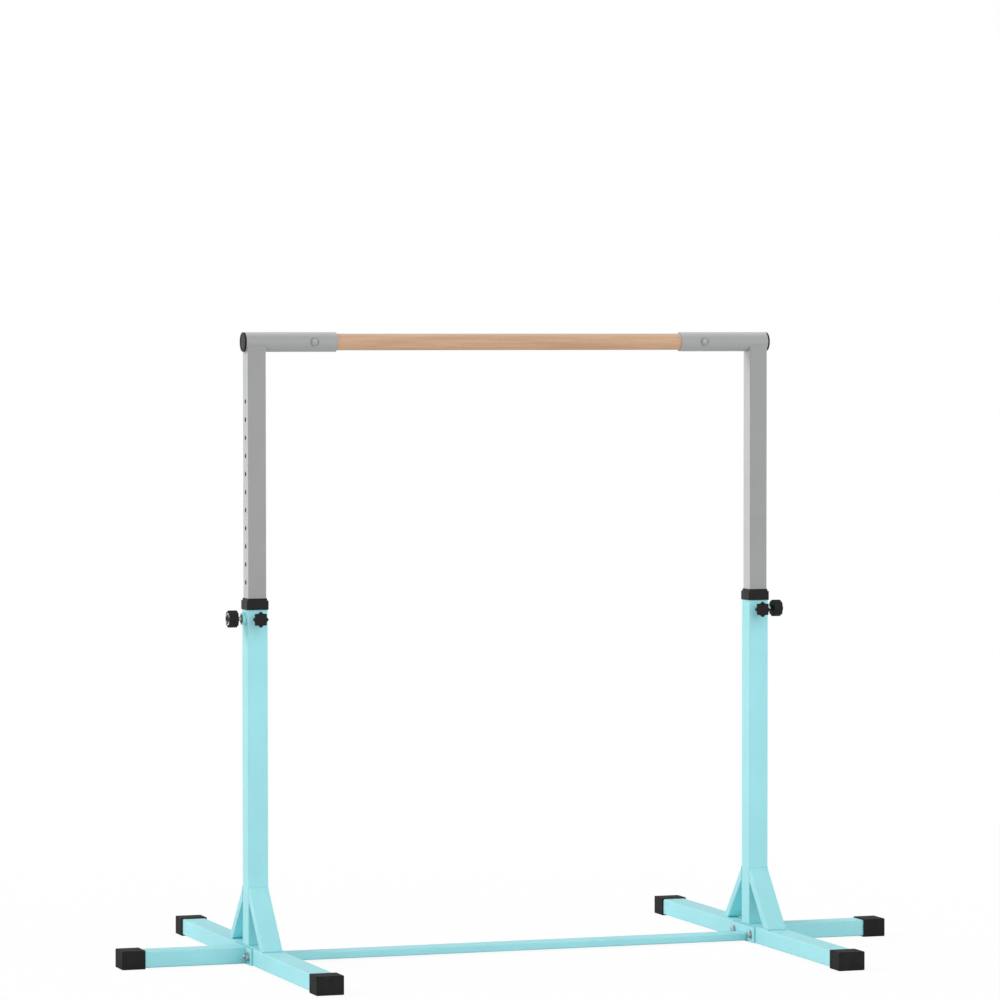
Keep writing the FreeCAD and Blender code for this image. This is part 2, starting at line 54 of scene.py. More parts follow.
# ---- screws and knobs ----
PIN_TIP_RADIUS = 0.0049
PIN_TIP_LENGTH = 0.0045
PIN_THREAD_LENGTH = 0.0140
PIN_THREAD_RADIUS = 0.0060
PIN_SHANK_RADIUS = 0.0050
PIN_PITCH = 0.00175
CLAMP_THREAD_RADIUS = 0.0040
CLAMP_THREAD_LENGTH = 0.0120
CLAMP_SHANK_RADIUS = 0.0036
CLAMP_PITCH = 0.00125
THREAD_DEPTH_PER_PITCH = 0.61
THREAD_RINGS_PER_TURN = 12
THREAD_SEGMENTS = 48
THREAD_CREST = 0.12
THREAD_FLANK = 0.66
SPIGOT_GAP = 0.00005
BORE_END_SHARE = 0.3
PROFILE_END_SHARE = 0.02
PROFILE_STEPS = 6
KNOB_SEGMENTS = 256
FLUTES = 8
FLUTE_DEPTH = 0.0019
FLUTE_SHARE = 0.46
FLUTE_FADE_START = 0.80
FLUTE_FADE_WIDTH = 0.12
PIN_KNOB_HUB = 0.0040
PIN_KNOB_HUB_RADIUS = 0.0070
PIN_BORE_DEPTH = 0.0160
PIN_DISH_DEPTH = 0.0006
PIN_DISH_SHARE = 0.80
PIN_DISH_FLOOR_SHARE = 0.77
PIN_BUTTON_FOOT_SHARE = 0.20
PIN_BUTTON_SHARE = 0.17
PIN_BUTTON_DEPTH = 0.0002
CLAMP_KNOB_HUB = 0.0040
CLAMP_HUB_RADIUS = 0.0080
CLAMP_BORE_DEPTH = 0.0110
STAR_POINTS = 8
STAR_TIP_RADIUS = 0.0199
STAR_VALLEY_RADIUS = 0.0154
STAR_SOFT_REACH = 4
STAR_SOFT_WIDTH = 2.2
STAR_FADE_START = 0.62
STAR_FADE_WIDTH = 0.25
STAR_DISH_DEPTH = 0.0005
STAR_DISH_SHARE = 0.60
STAR_DISH_FLOOR_SHARE = 0.50
ARROW_RADIUS = 0.0135
ARROW_HALF_WIDTH = 0.0011
ARROW_PROUD = 0.00015
ARROW_STEPS = 24
ARROW_START = 0.35
ARROW_SWEEP = math.radians(108)
ARROW_TIP_SHARE = 1.28
ARROW_HEAD_WIDTH = 2.4 * ARROW_HALF_WIDTH
SHARP_ANGLE = 35.0
KNOB_SHARP_ANGLE = 40.0
WELD_SHARP_ANGLE = 60.0

# ---- long flange bolts ----
BOLT_RADIUS = 0.0050
BOLT_HEAD_HEIGHT = 0.0064
BOLT_ACROSS_FLATS = 0.0170
BOLT_PITCH = 0.0015
BOLT_THREAD_LENGTH = 0.0260
HEX_SEGMENTS = 72

# ---- welds ----
WELD_RADIUS = 0.0008
SLEEVE_WELD_RADIUS = 0.0005
WELD_RIPPLE_LENGTH = 0.0032
WELD_RIPPLE_DEPTH = 0.10
WELD_STEP = 0.0009
WELD_SECTION_SEGMENTS = 10
LOOP_LEAST_POINTS = 24
WELD_SIZE_RANGE = (0.97, 1.03)
SLEEVE_WELD_TILT = 0.4
BASE_WELD_SEED = {"left": 11, "right": 12}
SLEEVE_WELD_SEED = {"left": 21, "right": 22}
TUBE_CORNER = 0.0025
CORNER_STEPS = 6

# ---- dark rings of painted shade under the rail bolt heads ----
SHADE_RING_SEGMENTS = 96
SHADE_RING_OVERLAP = 0.0015
SHADE_RING_PROUD = 0.0004
SHADE_RING_LIFT = 0.0005

# ---- colours ----
WHITE = (1.0, 1.0, 1.0)
TUBE_INSIDE_SHADE = (0.012, 0.012, 0.012)
BEECH_LIGHT = (0.605, 0.390, 0.250)
BEECH_DARK = (0.495, 0.300, 0.182)
BEECH_PINK = (0.560, 0.325, 0.208)
BEECH_FIBRE = (0.400, 0.232, 0.136)
BEECH_FLECK = (0.330, 0.178, 0.102)
PRINT_THIN = (0.62, 0.62, 0.61)
PRINT_THICK = (0.82, 0.82, 0.81)

# ---- surfaces: the middle range of a noise pattern, where the painted shade starts inside the posts, and the painted bounce light in corners ----
NOISE_RANGE = (0.3, 0.7)
INSIDE_SHADE_DEPTH = 0.0009
GLOW_GAIN = 1.23
GLOW_LIMITS = (0.92, 0.95)
STRONG_COLOUR = 1.5

# ---- floor ----
FLOOR_NEAR_SHADE = 0.64
FLOOR_FAR = 0.87
FLOOR_NEAR_DEPTH = 0.04
FLOOR_FAR_DEPTH = 0.6
FLOOR_RADIUS = 60.0
MELT_START = 1.0
MELT_END = 3.6
MELT_LEAST = 0.93

# ---- light ----
LIGHT_AROUND = 1.04
LIGHT_OVERHEAD = 0.24
LEFT_KEY = {"towards": (-0.80, 0.45, 0.62), "strength": 1.72, "spread": 30}
FRONT_KEY = {"towards": (0.24, -0.73, 0.64), "strength": 1.25, "spread": 70}

# ---- camera, in the photograph's viewing direction ----
CAMERA_PLACE = Vector((-3.8993, -11.1922, 1.5255))
CAMERA_YAW = -0.33327
CAMERA_DOWN = 0.03363
CAMERA_ROLL = -0.00060
CAMERA_SENSOR = 36.0
CAMERA_LENS = 171.59
CAMERA_REACH = 200.0


# ------------------------------------------------------------------ mesh tools


def mesh_object(name, build_mesh):
    """New mesh object in the scene, in the frame of the CAD model."""
    build_mesh.normal_update()
    mesh = bpy.data.meshes.new(name)
    build_mesh.to_mesh(mesh)
    build_mesh.free()
    obj = bpy.data.objects.new(name, mesh)
    bpy.context.scene.collection.objects.link(obj)
    return obj


def shade_by_angle(obj, degrees=SHARP_ANGLE):
    """Smooth shading, with edges sharper than the angle kept crisp."""
    mesh = obj.data
    for polygon in mesh.polygons:
        polygon.use_smooth = True
    mesh.set_sharp_from_angle(angle=math.radians(degrees))


def axis_matrix(origin, axis):
    """Matrix that puts a local +Z axis at the origin point, along the axis."""
    turn = axis.normalized().to_track_quat("Z", "Y")
    return Matrix.Translation(origin) @ turn.to_matrix().to_4x4()


def add_turned_shell(build, rings, matrix):
    """Closed shell through rings of (radius, height) pairs; a ring's radii follow the angle."""
    count = len(rings[0])
    rows = []
    for ring in rings:
        row = []
        for step, (radius, height) in enumerate(ring):
            angle = 2 * math.pi * step / count
            point = Vector((radius * math.cos(angle), radius * math.sin(angle), height))
            row.append(build.verts.new(matrix @ point))
        rows.append(row)
    for lower, upper in zip(rows, rows[1:]):
        for step in range(count):
            after = (step + 1) % count
            build.faces.new((lower[step], lower[after], upper[after], upper[step]))
    for row, height_ring, flip in ((rows[0], rings[0], True), (rows[-1], rings[-1], False)):
        centre_height = sum(height for _, height in height_ring) / count
        centre = build.verts.new(matrix @ Vector((0, 0, centre_height)))
        for step in range(count):
            after = (step + 1) % count
            corner = (row[after], row[step]) if flip else (row[step], row[after])
            build.faces.new((centre, corner[0], corner[1]))


def round_ring(radius, height, segments):
    """Ring with one radius all the way round."""
    return [(radius, height)] * segments


def fade_in(value, start, width):
    """0 up to the start, rising evenly to 1 over the width."""
    return min(max((value - start) / width, 0.0), 1.0)


def rounded_profile(corners):
    """Polyline through (radius, height, rounding) corners, with each corner rounded by an arc."""
    points = []
    for index, (radius, height, rounding) in enumerate(corners):
        here = Vector((radius, height))
        if rounding <= 0 or index in (0, len(corners) - 1):
            points.append(here)
            continue
        before = Vector(corners[index - 1][:2]) - here
        after = Vector(corners[index + 1][:2]) - here
        reach = min(rounding, 0.49 * before.length, 0.49 * after.length)
        start = here + before.normalized() * reach
        end = here + after.normalized() * reach
        for step in range(PROFILE_STEPS + 1):
            t = step / PROFILE_STEPS
            points.append((1 - t) ** 2 * start + 2 * t * (1 - t) * here + t * t * end)
    return points


# ------------------------------------------------------------------ screw threads


def thread_depth_at(turns):
    """Depth share of a 60 degree thread, from 0 at the crest to 1 at the root."""
    distance = abs(turns % 1.0 - 0.5) * 2
    return fade_in(distance, THREAD_CREST, THREAD_FLANK)


def thread_rings(start, length, radius, pitch, segments):
    """Rings of a right-hand thread that runs out to a chamfer at its start."""
    depth = THREAD_DEPTH_PER_PITCH * pitch
    count = max(2, round(length / pitch * THREAD_RINGS_PER_TURN))
    rings = []
    for step in range(count + 1):
        rise = length * step / count
        chamfer_radius = radius - depth + rise
        runout = min(1.0, (length - rise) / pitch)
        ring = []
        for segment in range(segments):
            turns = rise / pitch - segment / segments
            cut = radius - depth * thread_depth_at(turns) * runout
            ring.append((min(cut, max(chamfer_radius, radius - depth)), start + rise))
        rings.append(ring)
    return rings


def hexagon_ring(across_flats, limit, height, segments):
    """Ring of a hexagon whose corners are turned off at the limiting radius."""
    ring = []
    for segment in range(segments):
        angle = (360.0 * segment / segments) % 60.0 - 30.0
        ring.append((min(across_flats / 2 / math.cos(math.radians(angle)), limit), height))
    return ring


# ------------------------------------------------------------------ locking pins


def pin_axis(side):
    """Point on the pin's axis at its tip, and the outward direction."""
    low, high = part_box(side + "_pin_stud")
    middle = (low + high) / 2
    tip_x = high.x if side == "left" else low.x
    return Vector((tip_x, middle.y, middle.z)), OUTWARD[side]


def make_pin_screw(side):
    """Threaded locking screw with its dog point and plain shank."""
    tip, outward = pin_axis(side)
    low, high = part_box(side + "_pin_stud")
    length = high.x - low.x
    segments = THREAD_SEGMENTS
    rings = [
        round_ring(PIN_TIP_RADIUS - 0.0009, 0.0, segments),
        round_ring(PIN_TIP_RADIUS - 0.0004, 0.0002, segments),
        round_ring(PIN_TIP_RADIUS, 0.0008, segments),
        round_ring(PIN_TIP_RADIUS, PIN_TIP_LENGTH - 0.0001, segments),
    ]
    rings += thread_rings(PIN_TIP_LENGTH, PIN_THREAD_LENGTH, PIN_THREAD_RADIUS, PIN_PITCH, segments)
    thread_end = PIN_TIP_LENGTH + PIN_THREAD_LENGTH
    rings.append(round_ring(PIN_SHANK_RADIUS, thread_end + 0.0005, segments))
    rings.append(round_ring(PIN_SHANK_RADIUS, length - 0.0005, segments))
    rings.append(round_ring(PIN_SHANK_RADIUS - 0.0005, length, segments))
    build = bmesh.new()
    add_turned_shell(build, rings, axis_matrix(tip, outward))
    screw = mesh_object(side + "_pin_threaded_screw", build)
    shade_by_angle(screw)
    return screw


def flute_cut(angle):
    """Depth of the grip flutes at an angle, as a share of the full depth."""
    phase = (angle * FLUTES / (2 * math.pi)) % 1.0
    distance = abs(phase - 0.5) / FLUTE_SHARE
    if distance >= 1.0:
        return 0.0
    return 0.5 + 0.5 * math.cos(math.pi * distance)


def make_pin_knob(side):
    """Fluted round knob with a hub, a dished outer face and a blind bore for the shank."""
    low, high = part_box(side + "_pin_knob")
    middle = (low + high) / 2
    outward = OUTWARD[side]
    inner_x = high.x if side == "left" else low.x
    origin = Vector((inner_x, middle.y, middle.z)) + outward * PIN_KNOB_HUB
    thickness = high.x - low.x - PIN_KNOB_HUB
    radius = (high.z - low.z) / 2
    bore = PIN_SHANK_RADIUS + SPIGOT_GAP
    inside = [(bore * BORE_END_SHARE, PIN_BORE_DEPTH, 0), (bore, PIN_BORE_DEPTH, 0)]
    outside = [
        (bore, -PIN_KNOB_HUB, 0.0003),
        (PIN_KNOB_HUB_RADIUS, -PIN_KNOB_HUB, 0.0008),
        (PIN_KNOB_HUB_RADIUS + 0.0006, 0.0, 0.0010),
        (radius - 0.0010, 0.0, 0.0008),
        (radius, 0.0010, 0.0008),
        (radius, thickness - 0.0016, 0.0014),
        (radius - 0.0016, thickness, 0.0012),
        (radius * PIN_DISH_SHARE, thickness, 0.0008),
        (radius * PIN_DISH_FLOOR_SHARE, thickness - PIN_DISH_DEPTH, 0.0008),
        (radius * PIN_BUTTON_FOOT_SHARE, thickness - PIN_DISH_DEPTH, 0.0008),
        (radius * PIN_BUTTON_SHARE, thickness - PIN_BUTTON_DEPTH, 0.0006),
        (radius * PROFILE_END_SHARE, thickness - PIN_BUTTON_DEPTH, 0),
    ]
    rings = []
    for point in rounded_profile(inside + outside):
        ring = []
        fluted = fade_in(point.x / radius, FLUTE_FADE_START, FLUTE_FADE_WIDTH)
        for segment in range(KNOB_SEGMENTS):
            cut = FLUTE_DEPTH * flute_cut(2 * math.pi * segment / KNOB_SEGMENTS) * fluted
            ring.append((point.x - cut, point.y))
        rings.append(ring)
    build = bmesh.new()
    add_turned_shell(build, rings, axis_matrix(origin, outward))
    bmesh.ops.recalc_face_normals(build, faces=build.faces)
    knob = mesh_object(side + "_pin_grip_knob", build)
    shade_by_angle(knob, KNOB_SHARP_ANGLE)
    face_centre = origin + outward * (thickness - PIN_DISH_DEPTH)
    return knob, face_centre


def add_arrow(build, matrix, start):
    """Flat curved arrow, slightly proud of the plane it lies on."""
    angles = [start + ARROW_SWEEP * step / ARROW_STEPS for step in range(ARROW_STEPS + 1)]
    tip_angle = start + ARROW_SWEEP * ARROW_TIP_SHARE
    head_angle = start + ARROW_SWEEP
    outline = [(ARROW_RADIUS - ARROW_HALF_WIDTH, angle) for angle in angles]
    outline.append((ARROW_RADIUS - ARROW_HEAD_WIDTH, head_angle))
    outline.append((ARROW_RADIUS, tip_angle))
    outline.append((ARROW_RADIUS + ARROW_HEAD_WIDTH, head_angle))
    outline += [(ARROW_RADIUS + ARROW_HALF_WIDTH, angle) for angle in reversed(angles)]
    layers = []
    for height in (-ARROW_PROUD, ARROW_PROUD):
        layer = []
        for radius, angle in outline:
            point = Vector((radius * math.cos(angle), radius * math.sin(angle), height))
            layer.append(build.verts.new(matrix @ point))
        layers.append(layer)
    bottom, top = layers
    build.faces.new(list(reversed(bottom)))
    build.faces.new(top)
    for index in range(len(outline)):
        after = (index + 1) % len(outline)
        build.faces.new((bottom[index], bottom[after], top[after], top[index]))


def make_knob_arrows(side, face_centre):
    """Two curved arrows that show which way the knob turns."""
    build = bmesh.new()
    matrix = axis_matrix(face_centre, OUTWARD[side])
    for turn in range(2):
        add_arrow(build, matrix, math.pi * turn + ARROW_START)
    bmesh.ops.triangulate(build, faces=build.faces)
    bmesh.ops.recalc_face_normals(build, faces=build.faces)
    return mesh_object(side + "_pin_knob_arrows", build)


# ------------------------------------------------------------------ clamp screws


def make_clamp_screw(side):
    """Threaded clamp screw that bears on the front of the upper post."""
    low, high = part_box(side + "_clamp_stud")
    middle = (low + high) / 2
    length = high.y - low.y
    segments = THREAD_SEGMENTS
    rings = thread_rings(0.0, CLAMP_THREAD_LENGTH, CLAMP_THREAD_RADIUS, CLAMP_PITCH, segments)
    rings.append(round_ring(CLAMP_SHANK_RADIUS, CLAMP_THREAD_LENGTH + 0.0003, segments))
    rings.append(round_ring(CLAMP_SHANK_RADIUS, length - 0.0004, segments))
    rings.append(round_ring(CLAMP_SHANK_RADIUS - 0.0004, length, segments))
    build = bmesh.new()
    add_turned_shell(build, rings, axis_matrix(Vector((middle.x, high.y, middle.z)), TOWARDS_FRONT))
    screw = mesh_object(side + "_clamp_threaded_screw", build)
    shade_by_angle(screw)
    return screw


def star_outline():
    """Radius of the star at each segment, with softened points and valleys."""
    half_turn = math.pi / STAR_POINTS
    tip = Vector((STAR_TIP_RADIUS, 0.0))
    valley = STAR_VALLEY_RADIUS * Vector((math.cos(half_turn), math.sin(half_turn)))
    edge = valley - tip
    sharp = []
    for segment in range(KNOB_SEGMENTS):
        angle = (2 * math.pi * segment / KNOB_SEGMENTS) % (2 * half_turn)
        angle = min(angle, 2 * half_turn - angle)
        direction = Vector((math.cos(angle), math.sin(angle)))
        normal = Vector((edge.y, -edge.x))
        sharp.append(tip.dot(normal) / direction.dot(normal))
    offsets = range(-STAR_SOFT_REACH, STAR_SOFT_REACH + 1)
    weights = [math.exp(-(offset / STAR_SOFT_WIDTH) ** 2) for offset in offsets]
    total = sum(weights)
    smooth = []
    for segment in range(KNOB_SEGMENTS):
        blended = 0.0
        for offset, weight in zip(offsets, weights):
            blended += weight * sharp[(segment + offset) % KNOB_SEGMENTS]
        smooth.append(blended / total)
    return smooth


def make_clamp_knob(side):
    """Eight-pointed star knob with a hub and a shallow dish in its front face."""
    low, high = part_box(side + "_clamp_knob")
    middle = (low + high) / 2
    origin = Vector((middle.x, high.y - CLAMP_KNOB_HUB, middle.z))
    thickness = high.y - low.y - CLAMP_KNOB_HUB
    bore = CLAMP_SHANK_RADIUS + SPIGOT_GAP
    full = STAR_TIP_RADIUS
    corners = [
        (bore * BORE_END_SHARE, CLAMP_BORE_DEPTH, 0),
        (bore, CLAMP_BORE_DEPTH, 0),
        (bore, -CLAMP_KNOB_HUB, 0.0003),
        (CLAMP_HUB_RADIUS, -CLAMP_KNOB_HUB, 0.0008),
        (CLAMP_HUB_RADIUS + 0.0004, 0.0, 0.0008),
        (full - 0.0012, 0.0, 0.0012),
        (full, 0.0016, 0.0014),
        (full, thickness - 0.0020, 0.0016),
        (full - 0.0018, thickness, 0.0014),
        (full * STAR_DISH_SHARE, thickness, 0.0020),
        (full * STAR_DISH_FLOOR_SHARE, thickness - STAR_DISH_DEPTH, 0.0020),
        (full * PROFILE_END_SHARE, thickness - STAR_DISH_DEPTH, 0),
    ]
    outline = star_outline()
    rings = []
    for point in rounded_profile(corners):
        follow = fade_in(point.x / full, STAR_FADE_START, STAR_FADE_WIDTH)
        ring = []
        for radius in outline:
            ring.append((point.x - (full - radius) * follow, point.y))
        rings.append(ring)
    build = bmesh.new()
    add_turned_shell(build, rings, axis_matrix(origin, TOWARDS_FRONT))
    bmesh.ops.recalc_face_normals(build, faces=build.faces)
    knob = mesh_object(side + "_clamp_star_knob", build)
    shade_by_angle(knob, KNOB_SHARP_ANGLE)
    return knob


# ------------------------------------------------------------------ flange bolts


def flange_bolt_seats():
    """Head-side end point and outward direction of each of the four flange bolts."""
    bolts_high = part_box("flange_bolts")[1]
    washers_low, washers_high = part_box("flange_washers")
    half_spacing = bolts_high.y - BOLT_ACROSS_FLATS / 2
    seats = []
    for side in SIDES:
        flange_low, flange_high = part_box(side + "_outrigger_flange")
        height = (flange_low.z + flange_high.z) / 2
        washer = washers_high.x - flange_high.x if side == "right" else flange_low.x - washers_low.x
        tube_low, tube_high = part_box(side + "_base_tube")
        inner_face = tube_low.x if side == "right" else tube_high.x
        flange_thickness = flange_high.x - flange_low.x
        head_end = abs(inner_face) - flange_thickness - washer - BOLT_HEAD_HEIGHT
        for front in (-1, 1):
            point = Vector((OUTWARD[side].x * head_end, front * half_spacing, height))
            seats.append((point, OUTWARD[side]))
    return seats


def make_flange_bolts():
    """Four long hexagon bolts, threaded at the nut end."""
    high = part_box("flange_bolts")[1]
    build = bmesh.new()
    corner = BOLT_ACROSS_FLATS / math.sqrt(3)
    for point, outward in flange_bolt_seats():
        length = high.x - abs(point.x)
        thread_start = length - BOLT_THREAD_LENGTH
        rings = [
            hexagon_ring(BOLT_ACROSS_FLATS, corner * 0.80, 0.0, HEX_SEGMENTS),
            hexagon_ring(BOLT_ACROSS_FLATS, corner * 0.87, 0.0002, HEX_SEGMENTS),
            hexagon_ring(BOLT_ACROSS_FLATS, corner, 0.0012, HEX_SEGMENTS),
            hexagon_ring(BOLT_ACROSS_FLATS, corner, BOLT_HEAD_HEIGHT - 0.0004, HEX_SEGMENTS),
            hexagon_ring(BOLT_ACROSS_FLATS, corner * 0.86, BOLT_HEAD_HEIGHT, HEX_SEGMENTS),
            round_ring(BOLT_RADIUS + 0.0004, BOLT_HEAD_HEIGHT, HEX_SEGMENTS),
            round_ring(BOLT_RADIUS, BOLT_HEAD_HEIGHT + 0.0004, HEX_SEGMENTS),
            round_ring(BOLT_RADIUS, thread_start - 0.0008, HEX_SEGMENTS),
        ]
        thread = thread_rings(0.0, BOLT_THREAD_LENGTH, BOLT_RADIUS, BOLT_PITCH, HEX_SEGMENTS)
        for ring in reversed(thread):
            rings.append([(radius, length - height) for radius, height in reversed(ring)])
        add_turned_shell(build, rings, axis_matrix(point, outward))
    bolts = mesh_object("flange_bolts_threaded", build)
    shade_by_angle(bolts)
    return bolts


def make_rail_bolt_shade_rings():
    """Thin dark ring of painted shade under each rail bolt head, bent to the sleeve."""
    bolts_low, bolts_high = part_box("rail_bolts")
    sleeve_low, sleeve_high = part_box("left_rail_sleeve")
    axis_z = (sleeve_low.z + sleeve_high.z) / 2
    sleeve_radius = (sleeve_high.z - sleeve_low.z) / 2
    head_radius = (bolts_high.z - bolts_low.z) / 2
    inner = head_radius - SHADE_RING_OVERLAP
    outer = head_radius + SHADE_RING_PROUD
    section = ((inner, -SHADE_RING_LIFT), (inner, SHADE_RING_LIFT), (outer, SHADE_RING_LIFT), (outer, -SHADE_RING_LIFT))
    build = bmesh.new()
    for middle_x in (bolts_low.x + head_radius, bolts_high.x - head_radius):
        rows = []
        for segment in range(SHADE_RING_SEGMENTS):
            angle = 2 * math.pi * segment / SHADE_RING_SEGMENTS
            row = []
            for radius, lift in section:
                height = radius * math.sin(angle)
                depth = math.sqrt(sleeve_radius ** 2 - height ** 2) + lift
                across = middle_x + radius * math.cos(angle)
                row.append(build.verts.new((across, -depth, axis_z + height)))
            rows.append(row)
        for segment, row in enumerate(rows):
            following = rows[(segment + 1) % SHADE_RING_SEGMENTS]
            for corner in range(len(section)):
                after = (corner + 1) % len(section)
                build.faces.new((row[corner], row[after], following[after], following[corner]))
    bmesh.ops.recalc_face_normals(build, faces=build.faces)
    rings = mesh_object("rail_bolt_shade_rings", build)
    shade_by_angle(rings)
    return rings


# ------------------------------------------------------------------ weld beads


def rounded_rectangle(width, depth, corner):
    """Points round a rectangle with rounded corners, anticlockwise, centred on the origin."""
    points = []
    centres = ((1, 1, 0), (-1, 1, 90), (-1, -1, 180), (1, -1, 270))
    for across, along, start in centres:
        for step in range(CORNER_STEPS + 1):
            angle = math.radians(start + 90.0 * step / CORNER_STEPS)
            x = across * (width / 2 - corner) + corner * math.cos(angle)
            y = along * (depth / 2 - corner) + corner * math.sin(angle)
            points.append(Vector((x, y)))
    return points


def resample_loop(points, step):
    """Evenly spaced points along a closed loop."""
    lengths = [(points[(i + 1) % len(points)] - points[i]).length for i in range(len(points))]
    total = sum(lengths)
    count = max(LOOP_LEAST_POINTS, round(total / step))
    result = []
    index, passed = 0, 0.0
    for k in range(count):
        target = total * k / count
        while passed + lengths[index] < target:
            passed += lengths[index]
            index += 1
        share = (target - passed) / max(lengths[index], 1e-9)
        result.append(points[index].lerp(points[(index + 1) % len(points)], share))
    return result


def add_weld_bead(build, loop, normals, radius, rng):
    """Rippled bead swept along a closed loop; normals point out of the joint at each point."""
    loop_pairs = list(zip(loop, normals))
    count = len(loop_pairs)
    phase = rng.uniform(0, 2 * math.pi)
    rows = []
    travelled = 0.0
    for index, (point, outward) in enumerate(loop_pairs):
        before = loop_pairs[index - 1][0]
        after = loop_pairs[(index + 1) % count][0]
        along = (after - before).normalized()
        travelled += (point - before).length
        wave = phase + 2 * math.pi * travelled / WELD_RIPPLE_LENGTH
        ripple = 1.0 + WELD_RIPPLE_DEPTH * math.sin(wave)
        size = radius * ripple * rng.uniform(*WELD_SIZE_RANGE)
        across = along.cross(outward).normalized()
        lift = across.cross(along).normalized()
        row = []
        for segment in range(WELD_SECTION_SEGMENTS):
            angle = 2 * math.pi * segment / WELD_SECTION_SEGMENTS
            offset = across * math.cos(angle) * size + lift * math.sin(angle) * size
            row.append(build.verts.new(point + offset))
        rows.append(row)
    for index in range(count):
        row = rows[index]
        following = rows[(index + 1) % count]
        for segment in range(WELD_SECTION_SEGMENTS):
            after = (segment + 1) % WELD_SECTION_SEGMENTS
            build.faces.new((row[segment], row[after], following[after], following[segment]))


def weld_round_section(build, centre, axes, width, depth, rng):
    """Bead round a rectangular tube where it stands on a plate; the last of the axes points out."""
    axis_u, axis_v, axis_out = axes
    flat = resample_loop(rounded_rectangle(width, depth, TUBE_CORNER), WELD_STEP)
    loop = []
    normals = []
    for index, point in enumerate(flat):
        before = flat[index - 1]
        after = flat[(index + 1) % len(flat)]
        tangent = (after - before).normalized()
        side_normal = Vector((tangent.y, -tangent.x))
        loop.append(centre + axis_u * point.x + axis_v * point.y)
        normals.append((axis_u * side_normal.x + axis_v * side_normal.y + axis_out).normalized())
    add_weld_bead(build, loop, normals, WELD_RADIUS, rng)


def weld_round_disc(build, centre, axes, disc_radius, rng):
    """Bead round a boss where it stands on the post; the last of the axes points out."""
    axis_u, axis_v, axis_out = axes
    count = max(LOOP_LEAST_POINTS, round(2 * math.pi * disc_radius / WELD_STEP))
    loop = []
    normals = []
    for index in range(count):
        angle = 2 * math.pi * index / count
        spoke = axis_u * math.cos(angle) + axis_v * math.sin(angle)
        loop.append(centre + spoke * disc_radius)
        normals.append((spoke + axis_out).normalized())
    add_weld_bead(build, loop, normals, WELD_RADIUS, rng)


def make_base_welds(side):
    """All weld beads of one side of the base frame."""
    rng = random.Random(BASE_WELD_SEED[side])
    outward = OUTWARD[side]
    level_axes = (RIGHTWARD, REARWARD, UPWARD)
    build = bmesh.new()

    flange_low, flange_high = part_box(side + "_outrigger_flange")
    tube_low, tube_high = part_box(side + "_outrigger_tube")
    face_x = flange_high.x if side == "right" else flange_low.x
    centre = Vector((face_x, 0, (tube_low.z + tube_high.z) / 2))
    tube_size = (tube_high.y - tube_low.y, tube_high.z - tube_low.z)
    weld_round_section(build, centre, (REARWARD, UPWARD, outward), *tube_size, rng)

    beam_low, beam_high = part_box("floor_beam_tube")
    beam_x = beam_high.x if side == "right" else beam_low.x
    centre = Vector((beam_x, 0, (beam_low.z + beam_high.z) / 2))
    beam_size = (beam_high.y - beam_low.y, beam_high.z - beam_low.z)
    weld_round_section(build, centre, (REARWARD, UPWARD, -outward), *beam_size, rng)

    post_low, post_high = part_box(side + "_lower_post")
    middle = (post_low + post_high) / 2
    post_size = post_high.x - post_low.x
    centre = Vector((middle.x, middle.y, post_low.z))
    weld_round_section(build, centre, level_axes, post_size, post_size, rng)

    for end, along in (("rear", 1), ("front", -1)):
        brace_low, brace_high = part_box(f"{side}_{end}_brace")
        outer_y = brace_high.y if along > 0 else brace_low.y
        rise = brace_high.z - brace_low.z
        run = abs(outer_y) - post_size / 2
        slant = math.hypot(rise, run)
        thickness = brace_thickness(side, end)
        foot = thickness * slant / rise
        cut = thickness * slant / run
        centre = Vector((middle.x, outer_y - along * foot / 2, brace_low.z))
        weld_round_section(build, centre, level_axes, post_size, foot, rng)
        centre = Vector((middle.x, along * post_size / 2, brace_high.z - cut / 2))
        face_axes = (RIGHTWARD, UPWARD, REARWARD * along)
        weld_round_section(build, centre, face_axes, post_size, cut, rng)

    boss_low, boss_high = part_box(side + "_pin_boss")
    boss_middle = (boss_low + boss_high) / 2
    root_x = boss_low.x if side == "right" else boss_high.x
    boss_radius = (boss_high.z - boss_low.z) / 2
    centre = Vector((root_x, boss_middle.y, boss_middle.z))
    weld_round_disc(build, centre, (REARWARD, UPWARD, outward), boss_radius, rng)

    clamp_low, clamp_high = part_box(side + "_clamp_boss")
    clamp_middle = (clamp_low + clamp_high) / 2
    centre = Vector((clamp_middle.x, clamp_high.y, clamp_middle.z))
    clamp_radius = (clamp_high.z - clamp_low.z) / 2
    weld_round_disc(build, centre, (RIGHTWARD, UPWARD, TOWARDS_FRONT), clamp_radius, rng)

    bmesh.ops.recalc_face_normals(build, faces=build.faces)
    welds = mesh_object(side + "_base_welds", build)
    shade_by_angle(welds, WELD_SHARP_ANGLE)
    return welds


def brace_thickness(side, end):
    """Thickness of a brace across its slant, from the corner points of its mesh."""
    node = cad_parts[f"{side}_{end}_brace"]
    low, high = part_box(f"{side}_{end}_brace")
    foot = [abs(v.co.y) for v in node.data.vertices if abs(v.co.z - low.z) < 1e-5]
    foot_length = max(foot) - min(foot)
    run = max(abs(low.y), abs(high.y)) - min(abs(low.y), abs(high.y))
    rise = high.z - low.z
    return foot_length * rise / math.hypot(run, rise)


